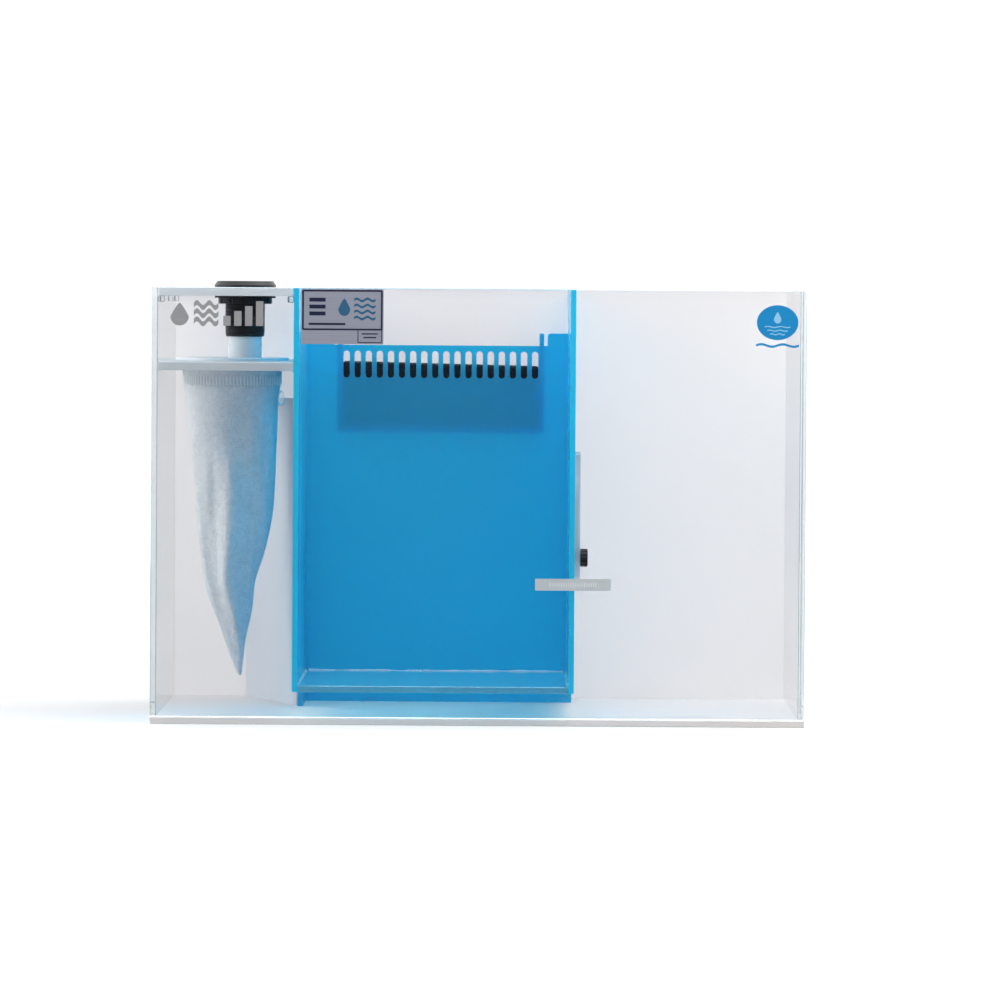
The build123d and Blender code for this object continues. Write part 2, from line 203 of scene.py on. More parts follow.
class EffectGroups:
    """Shared node groups, each built the first time that it is asked for."""

    def __init__(self) -> None:
        """Starts with no group built."""
        self.made: Dict[str, bpy.types.NodeTree] = {}

    def start(self, name: str, inputs: Dict[str, Tuple[str, object]], outputs: Dict[str, str]) -> Nodes:
        """Starts a node group with its sockets.

        Args:
            name: The group's name.
            inputs: Socket names, each with its type and default value.
            outputs: Socket names, each with its type.

        Returns:
            The wrapper round the new group's tree.
        """
        tree = bpy.data.node_groups.new(name, "ShaderNodeTree")
        for label, (kind, default) in inputs.items():
            socket = tree.interface.new_socket(name=label, in_out="INPUT", socket_type=kind)
            if default is not None:
                socket.default_value = default
        for label, kind in outputs.items():
            tree.interface.new_socket(name=label, in_out="OUTPUT", socket_type=kind)
        self.made[name] = tree
        return Nodes(tree)

    @built_once
    def surface_marks(self) -> None:
        """Fine hairline scratches and a slow haze, as a roughness and a height."""
        nodes = self.start(
            "surface_marks",
            {"Vector": ("NodeSocketVector", None), "Base Roughness": ("NodeSocketFloat", 0.03),
             "Haze": ("NodeSocketFloat", 0.04), "Scratch": ("NodeSocketFloat", 0.1)},
            {"Roughness": "NodeSocketFloat", "Height": "NodeSocketFloat"},
        )
        given = nodes.add("GroupInput")
        haze = nodes.add("TexNoise", {"Vector": given.outputs["Vector"], "Scale": 9.0, "Detail": 4.0})
        lines = None
        for turn in (0.35, 2.1):
            turned = nodes.add("Mapping", {"Vector": given.outputs["Vector"], "Rotation": (turn, turn, turn),
                                           "Scale": (900.0, 14.0, 900.0)})
            streak = nodes.add("TexNoise", {"Vector": turned.outputs[0], "Scale": 1.0, "Detail": 1.0})
            sharp = nodes.ramp(streak.outputs["Fac"], ((0.70, 0.0), (0.78, 1.0)))
            lines = sharp if lines is None else nodes.maths("MAXIMUM", lines, sharp)
        hazy = nodes.maths("MULTIPLY", haze.outputs["Fac"], given.outputs["Haze"])
        scratched = nodes.maths("MULTIPLY", lines, given.outputs["Scratch"])
        rough = nodes.maths("ADD", nodes.maths("ADD", hazy, scratched), given.outputs["Base Roughness"])
        nodes.add("GroupOutput", {"Roughness": rough, "Height": lines})

    @built_once
    def moulded_grain(self) -> None:
        """The fine grain and slight mottling of moulded plastic, as a mask and a height."""
        nodes = self.start(
            "moulded_grain",
            {"Vector": ("NodeSocketVector", None), "Grain Scale": ("NodeSocketFloat", 900.0)},
            {"Mottle": "NodeSocketFloat", "Height": "NodeSocketFloat"},
        )
        given = nodes.add("GroupInput")
        fine = nodes.add("TexNoise", {"Vector": given.outputs["Vector"], "Detail": 3.0,
                                      "Scale": given.outputs["Grain Scale"]})
        slow = nodes.add("TexNoise", {"Vector": given.outputs["Vector"], "Scale": 45.0, "Detail": 5.0})
        nodes.add("GroupOutput", {"Mottle": slow.outputs["Fac"], "Height": fine.outputs["Fac"]})

    @built_once
    def felt_fibres(self) -> None:
        """Tangled fibres over faint level knit rows, as a fibre mask and a height."""
        nodes = self.start(
            "felt_fibres",
            {"Vector": ("NodeSocketVector", None), "Rows": ("NodeSocketFloat", 1.0)},
            {"Fibre": "NodeSocketFloat", "Height": "NodeSocketFloat"},
        )
        given = nodes.add("GroupInput")
        fibre = nodes.add("TexNoise", {"Vector": given.outputs["Vector"], "Scale": 620.0, "Detail": 4.0,
                                       "Distortion": 1.2})
        tuft = nodes.add("TexNoise", {"Vector": given.outputs["Vector"], "Scale": 190.0, "Detail": 3.0})
        row = nodes.add("TexWave", {"Vector": given.outputs["Vector"], "Scale": 200.0, "Distortion": 0.9,
                                    "Detail Scale": 2.0}, bands_direction="Z")
        faint = nodes.maths("MULTIPLY", given.outputs["Rows"], 0.10)
        rows = nodes.maths("MULTIPLY", row.outputs["Fac"], faint)
        mixed = nodes.maths("MULTIPLY_ADD", tuft.outputs["Fac"], 0.6, fibre.outputs["Fac"])
        nodes.add("GroupOutput", {"Fibre": mixed, "Height": nodes.maths("ADD", mixed, rows)})


EFFECTS = EffectGroups()


def new_material(name: str) -> Tuple[bpy.types.Material, Nodes, bpy.types.Node]:
    """Makes an empty node material.

    Args:
        name: The material's name.

    Returns:
        The material, the wrapper round its tree and its output node.
    """
    material = bpy.data.materials.new(name)
    material.use_nodes = True
    material.node_tree.nodes.clear()
    nodes = Nodes(material.node_tree)
    return material, nodes, nodes.add("OutputMaterial")


@dataclass(frozen=True)
class SheetFinish:
    """Cast acrylic sheet, clear, tinted or frosted."""

    name: str
    tint: Colour
    depth_tint: Colour = (0.35, 0.86, 0.95)
    depth_density: float = 0.0
    transmission: float = 1.0
    roughness: float = 0.0
    haze: float = 0.01
    scratch: float = 0.06
    bump: float = 0.02
    coat: float = 0.0
    shadow_tint: Colour = (0.93, 0.97, 0.98)
    ior: float = 1.49
    # Painted edge glow: an emission colour, standing in for light, on the parts that lie before glow_y,
    # outside glow_x or above glow_z.
    glow: Optional[Colour] = None
    glow_strength: float = 0.45
    glow_y: float = -1.0
    glow_x: float = 1.0
    glow_z: float = 1.0

    def build(self) -> bpy.types.Material:
        """Makes the material.

        Returns:
            The material.
        """
        material, nodes, output = new_material(self.name)
        where = nodes.add("TexCoord").outputs["Object"]
        marks = nodes.add("Group", {"Vector": where, "Base Roughness": self.roughness, "Haze": self.haze,
                                    "Scratch": self.scratch}, node_tree=EFFECTS.surface_marks())
        cloud = nodes.add("TexNoise", {"Vector": where, "Scale": 4.0, "Detail": 3.0})
        shade = [c * 0.97 for c in self.tint]
        colour = nodes.blend(cloud.outputs["Fac"], shade, self.tint)
        dent = nodes.dents(marks.outputs["Height"], self.bump, 0.0002)
        sheet = nodes.add("BsdfPrincipled", {
            "Base Color": colour, "Roughness": marks.outputs["Roughness"], "IOR": self.ior,
            "Transmission Weight": self.transmission, "Normal": dent,
            "Coat Weight": self.coat, "Coat Roughness": 0.02, "Coat IOR": 1.45,
        })
        # Painted edge glow: emission over the masked front, side and top edges stands in for light seen along
        # the sheet's edges.
        if self.glow:
            place = nodes.add("SeparateXYZ", {"Vector": where})
            front = nodes.maths("LESS_THAN", place.outputs["Y"], self.glow_y)
            side = nodes.maths("GREATER_THAN", nodes.maths("ABSOLUTE", place.outputs["X"]), self.glow_x)
            top = nodes.maths("GREATER_THAN", place.outputs["Z"], self.glow_z)
            edge = nodes.maths("MAXIMUM", front, nodes.maths("MAXIMUM", side, top))
            painted_edge_glow_colour = nodes.blend(edge, (0.0, 0.0, 0.0), self.glow)
            nodes.tree.links.new(painted_edge_glow_colour, sheet.inputs["Emission Color"])
            sheet.inputs["Emission Strength"].default_value = self.glow_strength
        passing = nodes.add("BsdfTransparent", {"Color": (*self.shadow_tint, 1.0)})
        path = nodes.add("LightPath")
        both = nodes.add("MixShader", {0: path.outputs["Is Shadow Ray"], 1: sheet.outputs[0],
                                       2: passing.outputs[0]})
        nodes.tree.links.new(both.outputs[0], output.inputs["Surface"])
        if self.depth_density > 0:
            inside = nodes.add("VolumeAbsorption", {"Color": (*self.depth_tint, 1.0),
                                                    "Density": self.depth_density})
            nodes.tree.links.new(inside.outputs[0], output.inputs["Volume"])
        return material


@dataclass(frozen=True)
class MouldedFinish:
    """Moulded or extruded plastic and rubber with a fine grain."""

    name: str
    colour: Colour
    worn: Colour
    roughness: float = 0.4
    grain: float = 900.0
    bump: float = 0.15
    coat: float = 0.0
    shine: float = 0.5

    def build(self) -> bpy.types.Material:
        """Makes the material.

        Returns:
            The material.
        """
        material, nodes, output = new_material(self.name)
        where = nodes.add("TexCoord").outputs["Object"]
        grain = nodes.add("Group", {"Vector": where, "Grain Scale": self.grain},
                          node_tree=EFFECTS.moulded_grain())
        mottle = grain.outputs["Mottle"]
        colour = nodes.blend(nodes.ramp(mottle, ((0.35, 0.0), (0.75, 1.0))), self.colour, self.worn)
        spread = nodes.maths("MULTIPLY_ADD", mottle, 0.16, self.roughness - 0.08)
        dent = nodes.dents(grain.outputs["Height"], self.bump, 0.0002)
        skin = nodes.add("BsdfPrincipled", {
            "Base Color": colour, "Roughness": spread, "Normal": dent,
            "Specular IOR Level": self.shine, "Coat Weight": self.coat, "Coat Roughness": 0.08,
        })
        nodes.tree.links.new(skin.outputs[0], output.inputs["Surface"])
        return material


# Painted edge glow: the clear front panel glows along its side and top edges.
CLEAR = SheetFinish("clear_sheet", (0.992, 0.996, 0.998), depth_density=0.3, glow=(0.9, 1.25, 1.35),
                    glow_x=0.3044, glow_z=0.4060)
# Painted edge glow: the blue sheets glow cyan along their front edges.
BLUE = SheetFinish("blue_sheet", (0.0, 0.60, 0.90), transmission=0.7, roughness=0.5,
                   haze=0.02, coat=0.45, shadow_tint=(0.03, 0.64, 0.82), glow=(0.0, 0.27, 0.24),
                   glow_y=-0.1712)
MILKY = SheetFinish("milky_sheet", (0.96, 0.925, 0.92), transmission=0.55, roughness=0.5,
                    haze=0.02, coat=0.6, shadow_tint=(0.45, 0.46, 0.47))
SMOKY = SheetFinish("smoky_sheet", (0.84, 0.855, 0.885), transmission=0.5, roughness=0.5,
                    haze=0.02, shadow_tint=(0.42, 0.45, 0.48))
MATT_WHITE = SheetFinish("matt_white_sheet", (0.96, 0.905, 0.885), transmission=0.45,
                         roughness=0.6, haze=0.02, shadow_tint=(0.45, 0.46, 0.47), ior=1.30)
FROSTED = SheetFinish("frosted_sheet", (0.80, 0.88, 0.93), depth_tint=(0.4, 0.85, 0.95), depth_density=1.0,
                      roughness=0.5, shadow_tint=(0.8, 0.9, 0.95))
# Painted edge glow: the pale clear panels glow along their front edges.
PALE = SheetFinish("pale_clear_sheet", (0.985, 0.99, 0.993), transmission=0.92,
                   roughness=0.02, scratch=0.02, glow=(0.34, 0.42, 0.46), glow_y=-0.1712)
SAWN = SheetFinish("sawn_sheet", (0.80, 0.82, 0.85), transmission=0.40, roughness=0.5,
                   haze=0.02, shadow_tint=(0.50, 0.52, 0.54))
EDGE_LIT = SheetFinish("edge_lit_sheet", (0.30, 0.78, 0.92), transmission=0.72,
                       roughness=0.08, shadow_tint=(0.80, 0.93, 0.97))
CEMENT = SheetFinish("solvent_cement", (0.70, 0.91, 0.97), transmission=0.75, roughness=0.22,
                     haze=0.1, scratch=0.0, bump=0.3, shadow_tint=(0.85, 0.92, 0.94))
BLACK = MouldedFinish("black_moulding", (0.006, 0.006, 0.008), (0.014, 0.014, 0.017), 0.42, shine=0.3)
RUBBER = MouldedFinish("gasket_rubber", (0.008, 0.008, 0.008), (0.014, 0.014, 0.014), 0.6, shine=0.2)
PIPE = MouldedFinish("white_pipe", (0.80, 0.82, 0.84), (0.74, 0.77, 0.80), 0.28, bump=0.05)
RING = MouldedFinish("ring_moulding", (0.72, 0.75, 0.78), (0.66, 0.69, 0.73), 0.35)


@dataclass(frozen=True)
class FeltFinish:
    """Needled felt or thread: fine fibres, faint knit rows and a soft sheen."""

    name: str
    colour: Colour
    shade: Colour
    rows: float = 1.0

    def build(self) -> bpy.types.Material:
        """Makes the material.

        Returns:
            The material.
        """
        material, nodes, output = new_material(self.name)
        where = nodes.add("TexCoord").outputs["Object"]
        felt = nodes.add("Group", {"Vector": where, "Rows": self.rows}, node_tree=EFFECTS.felt_fibres())
        stain = nodes.add("TexNoise", {"Vector": where, "Scale": 14.0, "Detail": 4.0})
        mottle = nodes.maths("MULTIPLY_ADD", felt.outputs["Fibre"], 0.5, nodes.maths(
            "MULTIPLY", stain.outputs["Fac"], 0.25))
        colour = nodes.blend(nodes.ramp(mottle, ((0.40, 0.0), (0.68, 1.0))), self.shade, self.colour)
        dent = nodes.dents(felt.outputs["Height"], 0.9, 0.0012)
        cloth = nodes.add("BsdfPrincipled", {
            "Base Color": colour, "Roughness": 0.92, "Normal": dent, "Specular IOR Level": 0.2,
            "Sheen Weight": 0.08, "Sheen Roughness": 0.5, "Subsurface Weight": 0.3,
            "Subsurface Radius": (0.9, 1.0, 1.1), "Subsurface Scale": 0.003,
        })
        nodes.tree.links.new(cloth.outputs[0], output.inputs["Surface"])
        return material


@dataclass(frozen=True)
class FoamFinish:
    """Open-cell foam: matt struts of its own near-black, with painted shade darkening the pores between them.
    """

    name: str
    strut: Colour
    # The pore colour is painted shade inside the open cells.
    pore: Colour

    def build(self) -> bpy.types.Material:
        """Makes the material.

        Returns:
            The material.
        """
        material, nodes, output = new_material(self.name)
        where = nodes.add("TexCoord").outputs["Object"]
        cells = nodes.add("TexVoronoi", {"Vector": where, "Scale": 520.0}, feature="DISTANCE_TO_EDGE")
        # Painted shade: away from the cell edges the colour falls to the darker pore colour.
        strut = nodes.ramp(cells.outputs["Distance"], ((0.04, 1.0), (0.22, 0.0)))
        colour = nodes.blend(strut, self.pore, self.strut)
        rough = nodes.maths("MULTIPLY_ADD", strut, -0.25, 0.95)
        dent = nodes.dents(strut, 0.8, 0.0008)
        foam = nodes.add("BsdfPrincipled", {"Base Color": colour, "Roughness": rough, "Normal": dent,
                                            "Specular IOR Level": 0.2})
        nodes.tree.links.new(foam.outputs[0], output.inputs["Surface"])
        return material


@dataclass(frozen=True)
class PrintFinish:
    """Printed ink, foil or vinyl film with fine speckle and brushed lines."""

    name: str
    colour: Colour
    shade: Colour
    metallic: float = 0.0
    roughness: float = 0.35
    brushed: float = 0.0
    clear: float = 0.0
    speckle: float = 2600.0

    def build(self) -> bpy.types.Material:
        """Makes the material.

        Returns:
            The material.
        """
        material, nodes, output = new_material(self.name)
        where = nodes.add("TexCoord").outputs["Object"]
        grain = nodes.add("Group", {"Vector": where, "Grain Scale": self.speckle},
                          node_tree=EFFECTS.moulded_grain())
        drawn = nodes.add("Mapping", {"Vector": where, "Scale": (30.0, 30.0, 3200.0)})
        line = nodes.add("TexNoise", {"Vector": drawn.outputs[0], "Scale": 1.0, "Detail": 2.0})
        speckle = nodes.maths("MULTIPLY_ADD", grain.outputs["Height"], 0.5, nodes.maths(
            "MULTIPLY", line.outputs["Fac"], 0.5))
        colour = nodes.blend(nodes.ramp(speckle, ((0.40, 0.0), (0.62, 1.0))), self.shade, self.colour)
        rough = nodes.maths("MULTIPLY_ADD", line.outputs["Fac"], 0.2 * self.brushed, self.roughness)
        dent = nodes.dents(line.outputs["Fac"], 0.15 * self.brushed + 0.02, 0.0001)
        film = nodes.add("BsdfPrincipled", {"Base Color": colour, "Roughness": rough, "Normal": dent,
                                            "Metallic": self.metallic, "Transmission Weight": self.clear})
        nodes.tree.links.new(film.outputs[0], output.inputs["Surface"])
        return material


FELT = FeltFinish("needled_felt", (0.80, 0.80, 0.82), (0.58, 0.59, 0.62))
# White thread; on the cuff stitches its bright white is also painted highlight for the lit ridges of the
# gathers.
THREAD_AND_RIDGE_HIGHLIGHT = FeltFinish("sewing_thread_and_painted_ridge_highlight", (0.97, 0.98, 1.0), (0.86, 0.88, 0.92), rows=0.2)
# The second colour is painted shade for the pores; the first is the struts' own black.
FOAM = FoamFinish("open_cell_foam", (0.020, 0.020, 0.022), (0.003, 0.003, 0.003))
FOIL = PrintFinish("label_foil", (0.40, 0.42, 0.52), (0.33, 0.35, 0.44), metallic=0.35, roughness=0.4,
                   brushed=1.0)
STRIP = PrintFinish("silver_foil", (0.68, 0.73, 0.75), (0.62, 0.67, 0.69), roughness=0.38, brushed=1.0,
                    clear=0.3)
NAVY_INK = PrintFinish("navy_ink", (0.012, 0.020, 0.060), (0.008, 0.014, 0.045))
TEAL_INK = PrintFinish("teal_ink", (0.030, 0.14, 0.26), (0.02, 0.10, 0.20))
PALE_INK = PrintFinish("pale_ink", (0.95, 0.96, 0.97), (0.88, 0.90, 0.92))
GREY_VINYL = PrintFinish("grey_vinyl", (0.33, 0.33, 0.34), (0.28, 0.28, 0.29))
BLUE_VINYL = PrintFinish("blue_vinyl", (0.001, 0.27, 0.62), (0.001, 0.24, 0.55))
PALE_BLUE_INK = PrintFinish("pale_blue_ink", (0.30, 0.62, 0.86), (0.24, 0.55, 0.80))


# ---------------------------------------------------------------- modelling helpers
def deselect_all() -> None:
    """Leaves every object unselected and none active."""
    for item in bpy.context.selected_objects:
        item.select_set(False)
    bpy.context.view_layer.objects.active = None


def only(item: Piece) -> None:
    """Selects one object alone and makes it active.

    Args:
        item: The object.
    """
    deselect_all()
    item.select_set(True)
    bpy.context.view_layer.objects.active = item


@contextmanager
def edit_mode(item: Piece) -> Iterator[bmesh.types.BMesh]:
    """Opens an object's mesh for edit-mode operators.

    Args:
        item: The object.

    Yields:
        The edit mesh, with nothing selected.
    """
    only(item)
    bpy.ops.object.mode_set(mode="EDIT")
    bpy.ops.mesh.select_all(action="DESELECT")
    mesh = bmesh.from_edit_mesh(item.data)
    yield mesh
    bmesh.update_edit_mesh(item.data)
    bpy.ops.object.mode_set(mode="OBJECT")


def cut_along(item: Piece, axis: int, longer: float, cuts: int) -> None:
    """Subdivides the edges that run along one axis.

    Args:
        item: The object.
        axis: 0, 1 or 2 for X, Y or Z.
        longer: The length along the axis that an edge has to pass.
        cuts: The number of cuts in each.
    """
    with edit_mode(item) as mesh:
        for edge in mesh.edges:
            edge.select_set(abs(edge.verts[0].co[axis] - edge.verts[1].co[axis]) > longer)
        bmesh.update_edit_mesh(item.data)
        bpy.ops.mesh.subdivide(number_cuts=cuts)


def place_in_mesh() -> Piece:
    """Moves the selected primitive's place, turn and size into its mesh.

    Returns:
        The object.
    """
    bpy.ops.object.transform_apply(location=True, rotation=True, scale=True)
    return bpy.context.object


def box_between(low: Vector, high: Vector) -> Piece:
    """Adds a box.

    Args:
        low: Its lowest corner.
        high: Its highest corner.

    Returns:
        The box.
    """
    deselect_all()
    bpy.ops.mesh.primitive_cube_add(size=1.0, location=(low + high) / 2, scale=high - low)
    return place_in_mesh()


def turn_outwards(item: Piece) -> None:
    """Points all of an object's faces outwards.

    Args:
        item: The object.
    """
    with edit_mode(item):
        bpy.ops.mesh.select_all(action="SELECT")
        bpy.ops.mesh.normals_make_consistent(inside=False)


def select_faces(item: Piece, mesh: bmesh.types.BMesh, test: Callable) -> None:
    """Selects the faces that pass a test, and nothing else.

    Args:
        item: The object in edit mode.
        mesh: Its edit mesh.
        test: Called with each face.
    """
    bpy.ops.mesh.select_all(action="DESELECT")
    for face in mesh.faces:
        face.select_set(bool(test(face)))
    mesh.select_flush_mode()
    bmesh.update_edit_mesh(item.data)


def settle(item: Piece, name: str, smooth: float = 35.0) -> Piece:
    """Names a finished object, moves its place into its mesh and smooths its gentle edges.

    Args:
        item: The object.
        name: Its final name.
        smooth: The steepest edge, in degrees, that is shaded smooth.

    Returns:
        The object.
    """
    only(item)
    item.name = name
    item.data.name = name
    place_in_mesh()
    bpy.ops.object.shade_smooth_by_angle(angle=math.radians(smooth))
    return item


def apply_modifier(item: Piece, kind: str, **settings: object) -> None:
    """Adds a modifier, sets it and applies it.

    Args:
        item: The object.
        kind: The modifier's type.
        settings: Its properties.
    """
    only(item)
    modifier = item.modifiers.new(kind.lower(), kind)
    for key, value in settings.items():
        setattr(modifier, key, value)
    bpy.ops.object.modifier_apply(modifier=modifier.name)


def join(parts: Sequence[Piece]) -> Piece:
    """Joins objects into the first.

    Args:
        parts: The objects.

    Returns:
        The joined object.
    """
    deselect_all()
    for part in parts:
        part.select_set(True)
    bpy.context.view_layer.objects.active = parts[0]
    bpy.ops.object.join()
    return parts[0]


def finish_piece(item: Piece, body: Body, material: bpy.types.Material) -> None:
    """Dresses a piece and fixes it to its body.

    Args:
        item: The piece.
        body: The body that it rides on.
        material: Its material.
    """
    item.data.materials.clear()
    item.data.materials.append(material)
    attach(item, body.value)
    log.info("built %s, %d faces", item.name, len(item.data.polygons))


def smooth_between(points: Sequence[Tuple[float, ...]], at: float) -> Tuple[float, ...]:
    """Reads a smooth curve through rows of values, sorted by their falling first value.

    Args:
        points: Rows whose first value is the place along the curve.
        at: The place to read.

    Returns:
        The row's other values at that place.
    """
    if at >= points[0][0]:
        return points[0][1:]
    for upper, lower in zip(points, points[1:]):
        if at >= lower[0]:
            share = (upper[0] - at) / (upper[0] - lower[0])
            share = 0.5 * share + 0.5 * share * share * (3.0 - 2.0 * share)
            return tuple(a + (b - a) * share for a, b in zip(upper[1:], lower[1:]))
    return points[-1][1:]


# ---------------------------------------------------------------- filter sock
@dataclass
class FilterSock:
    """The felt bag with its gathered cuff, stitches and hanging loop.

    Sizes are in metres, and heights are over the bag's tip.
    """

    around: int = 176
    along: int = 58
    felt: float = 0.0018
    cap: float = 0.0025
    frames: int = 22
    held_above: float = 0.282
    held_loosely: float = 0.12
    smooth_below: float = 0.272
    smoothing: int = 14
    pleats: int = 88
    pleat_depth: float = 0.0014
    pleats_under_shelf: Tuple[float, float] = (0.0055, 0.0165)
    stitch_radius: float = 0.00055
    stitch_length: float = 0.0085
    stitch_under_shelf: float = 0.0110
    loop_under_shelf: float = 0.0275
    loop_radius: float = 0.0064
    loop_narrowing: float = 22.58
    thread_radius: float = 0.0009
    cuff_stand: float = 0.0002
    lump: float = 0.0015
    folds_below: float = 0.285
    front_flattening: float = 0.34
    tip_x: float = 0.00995
    # Sideways place and height of a hollow left of the fold, with how far each reaches, and its depth.
    hollow: Tuple[float, float, float, float, float] = (-0.017, 0.150, 0.013, 0.038, 0.0085)
    flat: Tuple[float, float] = (0.300, 0.305)
    flat_area: float = 0.0615
    # Height over the tip, then the left and right edges from the ring's axis.
    outline: Tuple[Tuple[float, float, float], ...] = (
        (0.302, -0.0474, 0.0474), (0.279, -0.0466, 0.0466), (0.265, -0.0449, 0.0434),
        (0.248, -0.0413, 0.0453), (0.207, -0.0383, 0.0431), (0.188, -0.0347, 0.0440),
        (0.161, -0.0356, 0.0424), (0.133, -0.0327, 0.0352), (0.104, -0.0296, 0.0252),
        (0.095, -0.0284, 0.0202), (0.083, -0.0246, 0.0204), (0.062, -0.0136, 0.0191),
        (0.034, -0.0030, 0.0125), (0.020, 0.0020, 0.0130), (0.006, 0.0078, 0.0112), (0.0, 0.0098, 0.0101),
    )
    # Height over the tip, then the half depth.
    depth: Tuple[Tuple[float, float], ...] = (
        (0.302, 0.0474), (0.248, 0.0440), (0.188, 0.0395), (0.133, 0.0330), (0.095, 0.0250),
        (0.062, 0.0150), (0.034, 0.0085), (0.0, 0.0012),
    )
    # Height over the tip, then where the front fold's ridge runs, how far it stands out and its width.
    ridge: Tuple[Tuple[float, float, float, float], ...] = (
        (0.285, -0.034, 0.0, 0.020), (0.262, -0.024, 0.0015, 0.020), (0.222, -0.008, 0.0022, 0.017),
        (0.188, 0.0003, 0.0085, 0.011), (0.161, -0.0002, 0.0120, 0.009), (0.133, -0.0021, 0.0130, 0.009),
        (0.112, -0.0048, 0.0125, 0.009), (0.0955, -0.0054, 0.0115, 0.008), (0.0785, -0.0016, 0.0100, 0.007),
        (0.062, 0.0032, 0.0085, 0.006), (0.049, 0.0080, 0.0065, 0.005), (0.0345, 0.0114, 0.0045, 0.004),
        (0.0, 0.0100, 0.0, 0.003),
    )

    def __post_init__(self) -> None:
        """Reads where the ring and bag are."""
        low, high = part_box("sock_bag")
        ring_low, ring_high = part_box("sock_ring")
        self.axis = Vector(((ring_low.x + ring_high.x) / 2, (ring_low.y + ring_high.y) / 2, 0.0))
        self.tip_z, self.top_z = low.z + 0.0005, high.z
        self.shelf_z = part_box("sock_shelf")[0].z

    def surface(self, turn: float, height: float) -> Vector:
        """Gives a point of the bag's form.

        Args:
            turn: Angle round the bag in radians, 0 at the right and rising towards the front.
            height: Height over the tip.

        Returns:
            The point.
        """
        left, right = smooth_between(self.outline, height)
        (half_depth,) = smooth_between(self.depth, height)
        place, stand, wide = smooth_between(self.ridge, height)
        x = (left + right) / 2 + (right - left) / 2 * math.cos(turn)
        bulge = math.sin(turn)
        slack = min(1.0, max(0.0, (self.folds_below - height) / 0.05))
        y = -half_depth * bulge * (1.0 - self.front_flattening * slack * max(0.0, bulge))
        if bulge > 0:
            hollow_x, hollow_height, reach_x, reach_height, hollow_depth = self.hollow
            y -= stand * math.exp(-((x - place) / wide) ** 2) * bulge
            dent = math.exp(-((x - hollow_x) / reach_x) ** 2 - ((height - hollow_height) / reach_height) ** 2)
            y += hollow_depth * dent * bulge
            # A low lip slants across the front above the hollow.
            lip = math.exp(-((height - 0.200 + 0.3 * (x + 0.02)) / 0.014) ** 2)
            y -= 0.0025 * lip * bulge * math.exp(-((x + 0.012) / 0.020) ** 2)
        else:
            rear = math.sin(3.0 * turn + 9.0 * height) * 0.0035
            y += rear * slack * bulge
        spot = Vector((math.cos(turn) * 1.9, math.sin(turn) * 1.9, height * 34.0))
        lump = noise.noise(spot) + 0.45 * noise.noise(spot * 2.3 + Vector((5.0, 1.0, 2.0)))
        push = self.lump * slack * lump
        x += push * math.cos(turn)
        y -= push * math.sin(turn)
        return Vector((self.axis.x + x, self.axis.y + y, self.tip_z + height))

    def start_mesh(self) -> Piece:
        """Makes an open tube and shapes it to the bag's form.

        Returns:
            The tube.
        """
        span = self.top_z - self.tip_z
        deselect_all()
        bpy.ops.mesh.primitive_cylinder_add(
            vertices=self.around, radius=0.0474, depth=span, end_fill_type="NOTHING",
            location=(self.axis.x, self.axis.y, self.tip_z + span / 2))
        bag = place_in_mesh()
        cut_along(bag, 2, span / 2, self.along)
        with edit_mode(bag) as mesh:
            floor = min(vertex.co.z for vertex in mesh.verts)
            for vertex in mesh.verts:
                vertex.select_set(vertex.co.z < floor + 0.0001)
            mesh.select_flush(True)
            bmesh.update_edit_mesh(bag.data)
            bpy.ops.mesh.edge_face_add()
            bpy.ops.mesh.poke()
        for vertex in bag.data.vertices:
            offset = vertex.co - self.axis
            turn = math.atan2(-offset.y, offset.x)
            centred = offset.xy.length < 0.001
            vertex.co = self.surface(turn, vertex.co.z - self.tip_z)
            if centred:
                vertex.co.xy = (self.axis.x + self.tip_x, self.axis.y)
        return bag

    def sag(self, bag: Piece) -> None:
        """Lets the felt settle as cloth, held at the cuff, and keeps each point near its form.

        Args:
            bag: The shaped tube.
        """
        start = [vertex.co.copy() for vertex in bag.data.vertices]
        hold = bag.vertex_groups.new(name="hold")
        for vertex in bag.data.vertices:
            held = vertex.co.z - self.tip_z > self.held_above
            hold.add([vertex.index], 1.0 if held else self.held_loosely, "REPLACE")
        cloth = bag.modifiers.new("sag", "CLOTH")
        felt = cloth.settings
        felt.quality = 5
        felt.mass = 0.25
        felt.tension_stiffness = 25.0
        felt.compression_stiffness = 30.0
        felt.shear_stiffness = 10.0
        felt.bending_stiffness = 6.0
        felt.vertex_group_mass = "hold"
        felt.pin_stiffness = 0.6
        felt.shrink_min = -0.004
        felt.shrink_max = -0.004
        cloth.collision_settings.use_collision = False
        cloth.collision_settings.use_self_collision = False
        scene = bpy.context.scene
        scene.frame_start, scene.frame_end = 1, self.frames
        cloth.point_cache.frame_end = self.frames
        for number in range(1, self.frames + 1):
            scene.frame_set(number)
        only(bag)
        bpy.ops.object.modifier_apply(modifier=cloth.name)
        scene.frame_set(1)
        for vertex, origin in zip(bag.data.vertices, start):
            shift = vertex.co - origin
            if shift.length > self.cap:
                vertex.co = origin + shift.normalized() * self.cap
        bag.vertex_groups.clear()
        with edit_mode(bag) as mesh:
            for vertex in mesh.verts:
                vertex.select_set(vertex.co.z - self.tip_z < self.smooth_below)
            mesh.select_flush(True)
            bmesh.update_edit_mesh(bag.data)
            bpy.ops.mesh.vertices_smooth(factor=0.5, repeat=self.smoothing)

